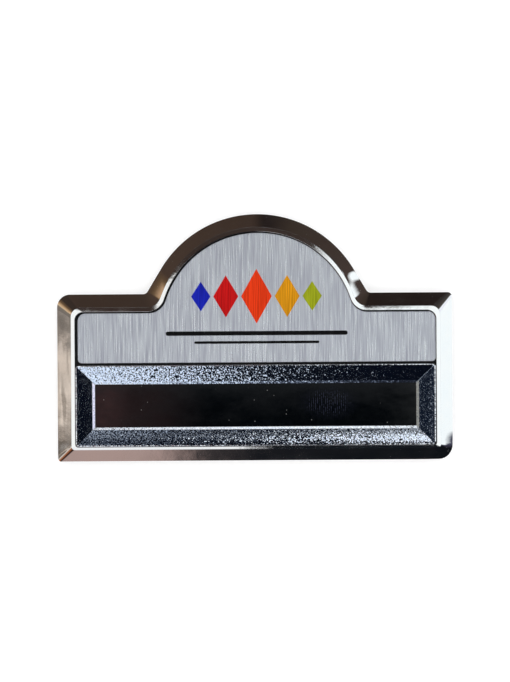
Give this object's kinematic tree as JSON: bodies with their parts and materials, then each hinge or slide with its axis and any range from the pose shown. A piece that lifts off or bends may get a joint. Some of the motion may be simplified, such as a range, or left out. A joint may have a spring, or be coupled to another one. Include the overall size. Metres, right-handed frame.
{
  "type": "name badge",
  "caption": "Metal name badge with a domed top, a bevelled chrome rim, a brushed face plate, a framed window over a black name strip, and a bar pin behind.",
  "frame": {"origin": "under the middle of the bounding box, on the surface that the badge lies on", "axes": "+X along the badge, to the wearer's left; +Y to the top of the badge when worn; +Z out of its face"},
  "size_m": [0.07, 0.0436, 0.0041],
  "materials": {
    "polished_chrome": "mirror-polished chrome plating on pressed sheet",
    "brushed_aluminium": "fine brushing that runs from top to bottom, with a printed ornament",
    "grained_chrome": "chrome plating over a fine cast grain",
    "black_plastic": "glossy black, a little dusty",
    "nickel_steel": "satin nickel plating"
  },
  "bodies": {
    "root": {"case": "polished_chrome", "face_plate": "brushed_aluminium", "name_frame": "grained_chrome", "name_strip": "black_plastic", "bar_pin": "nickel_steel"}
  },
  "joints": []
}
